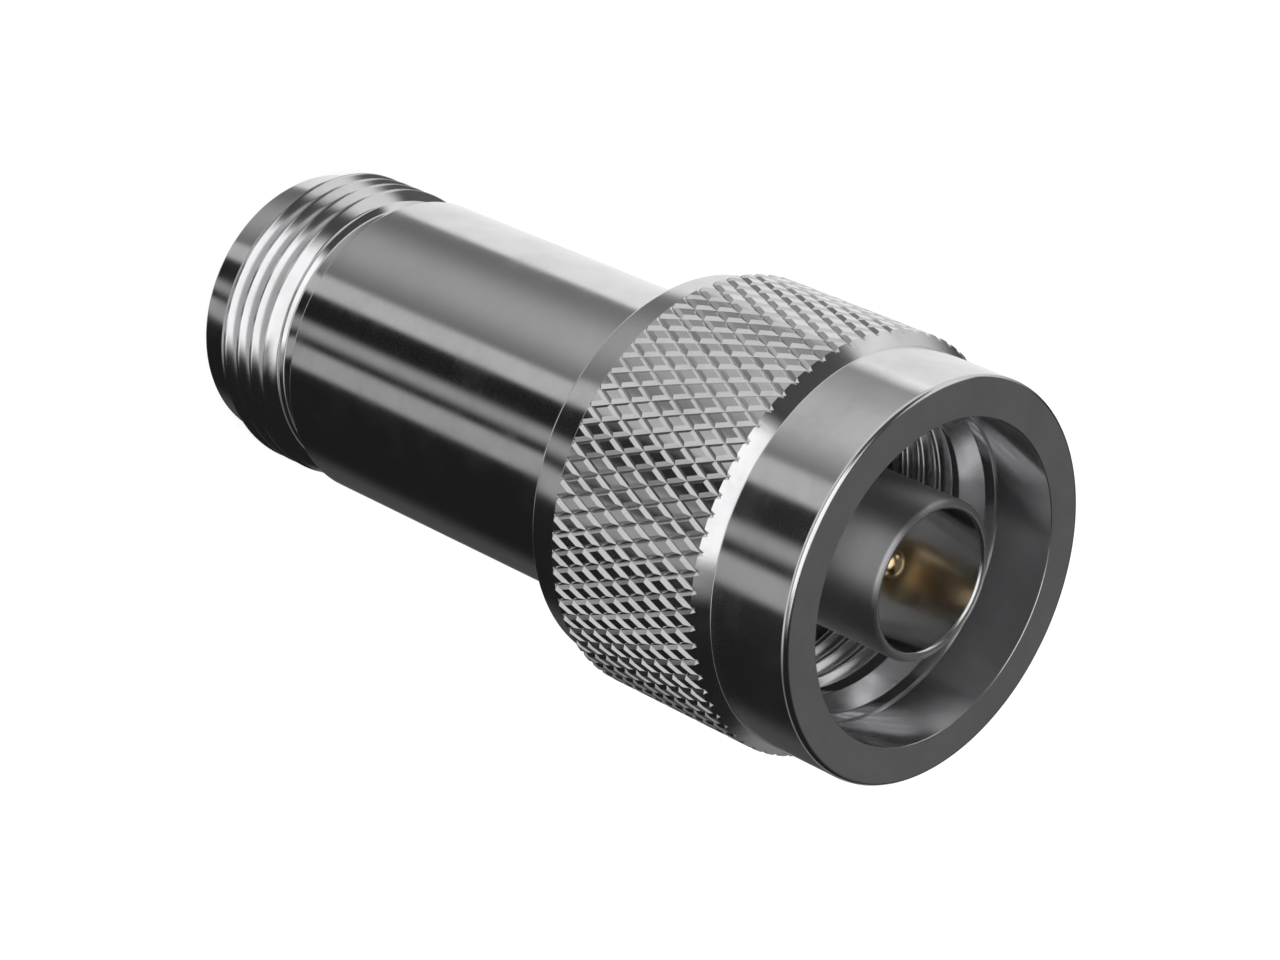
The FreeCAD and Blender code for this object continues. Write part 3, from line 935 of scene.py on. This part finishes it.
@dataclass
class PlugBody(Assembly):
    """The plug's outer conductor, with its ferrule, flange and spigot, and the gasket round it.

    Attributes:
        line: The bore of the air line.
        ferrule: The ferrule's radius.
        front: The height of the ferrule's face.
        neck: The radius of the neck that the gasket sits in.
        gasket_low: Where the neck starts, on the flange.
        gasket_high: Where it ends.
        flange: The flange's radius.
        groove: The radius of the snap ring's groove.
        groove_low: Where that groove starts.
        groove_high: Where it ends.
        seat: Where the flange meets the barrel.
        spigot: The spigot's radius.
        spigot_low: Where the spigot ends, inside the barrel.
        seal: The radius of the ring seal's groove in the spigot.
        seal_low: Where that groove starts.
        seal_high: Where it ends.
        bead: The radius of the bead's seat.
        bead_high: Where the bead's seat ends.
        gasket: The gasket's radius.
        clear: How far the gasket stays off the neck's floor and upper end.
    """

    line: float = 3.5
    ferrule: float = 4.0
    front: float = 44.7
    neck: float = 3.8
    gasket_low: float = 34.8
    gasket_high: float = 35.8
    flange: float = 7.0
    groove: float = 6.1
    groove_low: float = 32.45
    groove_high: float = 33.75
    seat: float = 31.5
    spigot: float = 6.5
    spigot_low: float = 27.1
    seal: float = 5.9
    seal_low: float = 30.2
    seal_high: float = 31.0
    bead: float = 4.6
    bead_high: float = 34.2
    gasket: float = 6.6
    clear: float = 0.01

    def build(self) -> None:
        """Turn the plug body and its gasket, and finish the seal that the barrel hides."""
        body = Model.turned("plug_body_turned", [
            Corner(self.line, self.front, 0.18),
            Corner(self.ferrule, self.front, 0.18),
            Corner(self.ferrule, self.gasket_high, 0.05),
            Corner(self.neck, self.gasket_high),
            Corner(self.neck, self.gasket_low),
            Corner(self.flange, self.gasket_low, 0.08),
            Corner(self.flange, self.groove_high, 0.04),
            Corner(self.groove, self.groove_high),
            Corner(self.groove, self.groove_low),
            Corner(self.flange, self.groove_low, 0.04),
            Corner(self.flange, self.seat, 0.04),
            Corner(self.spigot, self.seat),
            Corner(self.spigot, self.seal_high),
            Corner(self.seal, self.seal_high),
            Corner(self.seal, self.seal_low),
            Corner(self.spigot, self.seal_low),
            Corner(self.spigot, self.spigot_low, 0.3),
            Corner(self.bead, self.spigot_low, 0.05),
            Corner(self.bead, self.bead_high),
            Corner(self.line, self.bead_high),
        ])
        self.dress(body, "plug_body", Body.BARREL, Slot.PLUG, PLUG_NICKEL)
        inner, high = self.neck + self.clear, self.gasket_high - self.clear
        gasket = Model.turned("face_gasket_moulded", [
            Corner(inner, self.gasket_low, 0.05),
            Corner(self.gasket, self.gasket_low, 0.05),
            Corner(self.gasket, high, 0.2),
            Corner(inner, high, 0.1),
        ], steps=160)
        self.dress(gasket, "face_gasket", Body.BARREL, Slot.SEAL, RUBBER)
        self.coat("barrel_seal", RUBBER)
        self.coat("snap_ring", BRONZE)


@dataclass
class CentreLine(Assembly):
    """The contacts at both ends, the beads that carry them and what lies between them.

    Attributes:
        conductor: The radius of the centre conductor.
        waist: Its radius inside the beads.
        stud: The radius of the studs behind the beads.
        stud_length: How far the studs stand out of the beads.
        bead: The beads' radius.
        clear: How far the beads' bores stay off the waists.
        pin: The pin's radius.
        pin_tip: The height of the pin's tip.
        pin_round: How far the tip's rounding reaches.
        shoulder: The height of the pin's shoulder.
        plug_bead: The lower and upper heights of the plug's bead.
        jack_bead: The lower and upper heights of the jack's bead.
        socket: The radius of the jack contact's socket.
        socket_mouth: The height of the socket's mouth.
        socket_floor: The height of its floor.
        saw: The saw's length, width and height, which cut the socket's slots.
        saw_middle: The height of the saw's middle.
    """

    conductor: float = 1.52
    waist: float = 1.05
    stud: float = 0.7
    stud_length: float = 1.3
    bead: float = 4.59
    clear: float = 0.01
    pin: float = 0.825
    pin_tip: float = 42.7
    pin_round: float = 0.7
    shoulder: float = 39.4
    plug_bead: tuple[float, float] = (31.2, 34.2)
    jack_bead: tuple[float, float] = (10.6, 13.6)
    socket: float = 0.835
    socket_mouth: float = 4.1
    socket_floor: float = 8.5
    saw: tuple[float, float, float] = (4.0, 0.3, 4.6)
    saw_middle: float = 6.0

    def pin_model(self) -> Model:
        """Turn the plug's pin with its rounded tip, shoulder, waist and stud.

        Returns:
            The closed pin.
        """
        low, high = self.plug_bead
        return Model.turned("plug_pin_turned", [
            Corner(0.0, self.pin_tip),
            Corner(self.pin, self.pin_tip, self.pin_round),
            Corner(self.pin, self.shoulder, 0.03),
            Corner(self.conductor, self.shoulder, 0.12),
            Corner(self.conductor, high, 0.03),
            Corner(self.waist, high),
            Corner(self.waist, low),
            Corner(self.stud, low),
            Corner(self.stud, low - self.stud_length, 0.1),
            Corner(0.0, low - self.stud_length),
        ], steps=128)

    def socket_model(self) -> Model:
        """Turn the jack's contact and cut its four slots.

        Returns:
            The closed contact.
        """
        low, high = self.jack_bead
        contact = Model.turned("jack_contact_turned", [
            Corner(self.socket, self.socket_mouth, 0.12),
            Corner(self.conductor, self.socket_mouth, 0.15),
            Corner(self.conductor, low, 0.03),
            Corner(self.waist, low),
            Corner(self.waist, high),
            Corner(self.stud, high),
            Corner(self.stud, high + self.stud_length, 0.1),
            Corner(0.0, high + self.stud_length),
            Corner(0.0, self.socket_floor),
            Corner(self.socket, self.socket_floor, 0.3),
        ], steps=128)
        for turn in (0, math.pi / 2):
            Model.deselect()
            bpy.ops.mesh.primitive_cube_add(size=MM, location=(0, 0, self.saw_middle * MM),
                                            scale=self.saw, rotation=(0, 0, turn))
            saw = Model("slot_saw")
            saw.settle()
            contact.cut(saw)
        return contact

    def bead_model(self, name: str, heights: tuple[float, float]) -> Model:
        """Turn one bead.

        Args:
            name: The bead's name.
            heights: Its lower and upper heights.

        Returns:
            The closed bead.
        """
        low, high = heights
        bore = self.waist + self.clear
        return Model.turned(name, [
            Corner(bore, low, 0.05),
            Corner(self.bead, low, 0.1),
            Corner(self.bead, high, 0.1),
            Corner(bore, high, 0.05),
        ], steps=128)

    def build(self) -> None:
        """Make the contacts and beads, and finish the pieces that the barrel hides."""
        self.dress(self.pin_model(), "plug_pin", Body.BARREL, Slot.CONTACT, GOLD)
        self.dress(self.socket_model(), "jack_contact", Body.BARREL, Slot.CONTACT, GOLD)
        for name, heights in (("plug_bead", self.plug_bead), ("jack_bead", self.jack_bead)):
            bead = self.bead_model(name + "_turned", heights)
            self.dress(bead, name, Body.BARREL, Slot.DIELECTRIC, DIELECTRIC)
        hidden = {
            "plug_card_clip": GOLD, "jack_card_clip": GOLD,
            "plug_bush": PLUG_NICKEL, "jack_bush": PLUG_NICKEL,
            "card_holder_front": ALUMINIUM, "card_holder_back": ALUMINIUM,
            "attenuator_card": CERAMIC,
        }
        for name, finish in hidden.items():
            self.coat(name, finish)


@dataclass(frozen=True)
class Panel:
    """A panel of the studio's tent, whose brightness adds to that of those it overlaps.

    Attributes:
        left: The direction of its left edge, from the front towards the right, in degrees.
        right: The direction of its right edge.
        low: The sine of its lower edge's angle above the horizon.
        high: The sine of its upper edge's angle.
        level: How much brightness it adds, where 1 is white.
        blur: How far its upright edges fade to each side, in degrees.
        fade: How far its level edges fade to each side, as a sine.
    """

    left: float
    right: float
    low: float
    high: float
    level: float
    blur: float = 4.0
    fade: float = 0.06

    def light(self, turn: Wire, height: Wire) -> Wire:
        """The brightness that the panel adds in a direction.

        Args:
            turn: The direction round the object, in degrees from the front.
            height: The sine of the angle above the horizon.

        Returns:
            The brightness.
        """
        across = (turn.between(self.left - self.blur, self.left + self.blur)
                  * turn.between(self.right + self.blur, self.right - self.blur))
        upward = (height.between(self.low - self.fade, self.low + self.fade)
                  * height.between(self.high + self.fade, self.high - self.fade))
        return across * upward * self.level


LOW_BAND = (-0.93, -0.42)  # the heights, as sines, that upright walls show to the photo's side
PANELS = {
    "paper_under": Panel(-200, 200, -2.0, -0.93, 0.55),
    "left_wall": Panel(-200, -105, *LOW_BAND, 1.0, blur=2.5),
    "left_wall_above": Panel(-106, -98, -0.62, -0.42, 0.9, blur=2.5, fade=0.03),
    "left_paper": Panel(-105, -9, *LOW_BAND, 0.17, blur=2.0),
    "left_glow": Panel(-76, -38, *LOW_BAND, 0.24, blur=16.0),
    "left_glow_above": Panel(-98, -34, -0.63, -0.42, 0.34, blur=12.0, fade=0.05),
    "narrow_card": Panel(-25, -9, *LOW_BAND, 0.44, blur=2.5),
    "thin_card": Panel(13, 23, *LOW_BAND, 0.38, blur=4.0),
    "wide_card": Panel(31, 48, *LOW_BAND, 0.42, blur=2.5),
    "right_paper": Panel(128, 172, *LOW_BAND, 0.06, blur=12.0),
    "back_paper": Panel(172, 200, *LOW_BAND, 1.0, blur=8.0),
    "front_horizon": Panel(-140, 62, -0.40, 0.12, 0.85, blur=16.0),
    "right_horizon": Panel(62, 200, -0.40, -0.10, 0.25, blur=16.0),
    "softbox": Panel(-37, 36, 0.35, 0.78, 1.5, blur=8.0, fade=0.12),
    "softbox_edge": Panel(30, 54, 0.35, 0.78, 0.38, blur=6.0, fade=0.12),
    "overhead": Panel(-66, 66, 0.78, 2.0, 1.4, blur=9.0, fade=0.12),
    "high_window": Panel(-118, -93, 0.10, 0.80, 0.85, blur=4.0),
    "back_high": Panel(150, 200, 0.20, 2.0, 0.12, blur=12.0),
    "back_high_left": Panel(-200, -124, 0.20, 2.0, 0.12, blur=8.0),
    "room_high": Panel(-124, -44, 0.20, 2.0, 0.06, blur=6.0),
}


@dataclass
class Studio:
    """The pale floor, the tent that the metal reflects, the lamps and the camera.

    Attributes:
        floor_size: The floor's width, in metres.
        dark: The brightness of the tent where it has no panel.
        paper: The floor's colour.
        shine: How much of the floor is plain white for the camera.
        grey: The brightness that lights all that isn't gloss.
        aim: The point that the lamps face, in metres.
        eye: The camera's place, in millimetres.
        right: The direction of the picture's right side.
        down: The direction of the picture's lower side.
        lens: The camera's focal length, in millimetres.
        sensor: The width of its sensor.
    """

    floor_size: float = 3.0
    dark: float = 0.015
    paper: Colour = (0.86, 0.86, 0.86)
    shine: float = 0.75
    grey: float = 0.55
    aim: tuple[float, float, float] = (0.0, 0.0, 0.03)
    eye: tuple[float, float, float] = (1.278, -142.803, 147.269)
    right: tuple[float, float, float] = (-0.4120, 0.5896, 0.6947)
    down: tuple[float, float, float] = (0.9112, 0.2666, 0.3141)
    lens: float = 106.89
    sensor: float = 36.0

    def floor(self) -> None:
        """Lay the pale floor, which keeps the object's shadow and shines for the camera."""
        Model.deselect()
        bpy.ops.mesh.primitive_plane_add(size=self.floor_size)
        piece = Model("floor").object
        material = bpy.data.materials.new("pale_paper")
        material.use_nodes = True
        nodes = Nodes(material.node_tree)
        paper = nodes.add("ShaderNodeBsdfDiffuse", {}, {"Color": self.paper})
        light = nodes.add("ShaderNodeEmission", {}, {"Color": (1.0, 1.0, 1.0), "Strength": 1.0})
        camera = nodes.add("ShaderNodeLightPath", {}, {})
        shader = nodes.add("ShaderNodeMixShader", {}, {0: camera * self.shine, 1: paper, 2: light})
        nodes.add("ShaderNodeOutputMaterial", {}, {"Surface": shader})
        piece.data.materials.append(material)
        piece.visible_glossy = False

    def lamp(self, name: str, place: Sequence[float], size: float, power: float) -> None:
        """Hang a soft square lamp that faces the object.

        Args:
            name: The lamp's name.
            place: Its middle, in metres.
            size: Its width, in metres.
            power: Its power, in watts.
        """
        light = bpy.data.lights.new(name, "AREA")
        light.size = size
        light.energy = power
        lamp = bpy.data.objects.new(name, light)
        lamp.location = place
        way = Vector(self.aim) - Vector(place)
        lamp.rotation_euler = way.to_track_quat("-Z", "Y").to_euler()
        lamp.visible_glossy = False
        bpy.context.collection.objects.link(lamp)

    def tent(self) -> None:
        """Surround the scene: white for the camera, panels for gloss and soft grey for the rest."""
        world = bpy.data.worlds.new("studio_tent")
        world.use_nodes = True
        bpy.context.scene.world = world
        nodes = Nodes(world.node_tree)
        direction = nodes.add("ShaderNodeTexCoord", {}, {})
        parts = nodes.add("ShaderNodeSeparateXYZ", {}, {0: direction}).socket.node.outputs
        x, y, height = (Wire(nodes, part) for part in parts)
        angle = nodes.add("ShaderNodeMath", {"operation": "ARCTAN2"}, {0: x, 1: 0.0 - y})
        turn = angle * math.degrees(1)
        shown = sum((panel.light(turn, height) for panel in PANELS.values()), self.dark)
        rays = nodes.add("ShaderNodeLightPath", {}, {}).socket.node.outputs
        camera, glossy = (Wire(nodes, rays[name]) for name in ("Is Camera Ray", "Is Glossy Ray"))
        plain = camera * (1.0 - self.grey) + self.grey
        level = shown * glossy + (1.0 - glossy) * plain
        sky = nodes.add("ShaderNodeBackground", {}, {"Color": level, "Strength": 1.0})
        nodes.add("ShaderNodeOutputWorld", {}, {"Surface": sky})

    def camera(self) -> None:
        """Put the camera where the photograph was taken from."""
        data = bpy.data.cameras.new("photo_camera")
        data.lens = self.lens
        data.sensor_width = self.sensor
        data.clip_start = MM
        camera = bpy.data.objects.new("photo_camera", data)
        right = Vector(self.right).normalized()
        up = -Vector(self.down).normalized()
        back = right.cross(up)
        turn = Matrix((right, up, back)).transposed().to_4x4()
        camera.matrix_world = Matrix.Translation(Vector(self.eye) * MM) @ turn
        bpy.context.collection.objects.link(camera)
        bpy.context.scene.camera = camera

    def build(self) -> None:
        """Set up the whole studio."""
        self.floor()
        self.lamp("front_lamp", place=(0.0, -0.72, 0.62), size=0.62, power=12.0)
        self.lamp("top_lamp", place=(0.0, 0.1, 1.1), size=0.7, power=8.0)
        self.tent()
        self.camera()


def main() -> None:
    """Build the attenuator piece by piece, and then the studio round it."""
    logging.basicConfig(level=logging.INFO, format="%(name)s %(message)s")
    view = bpy.context.scene.view_settings
    view.view_transform = "Standard"
    for assembly in (Barrel(), CouplingNut(), PlugBody(), CentreLine()):
        assembly.build()
    Studio().build()


if __name__ == "__main__":
    main()
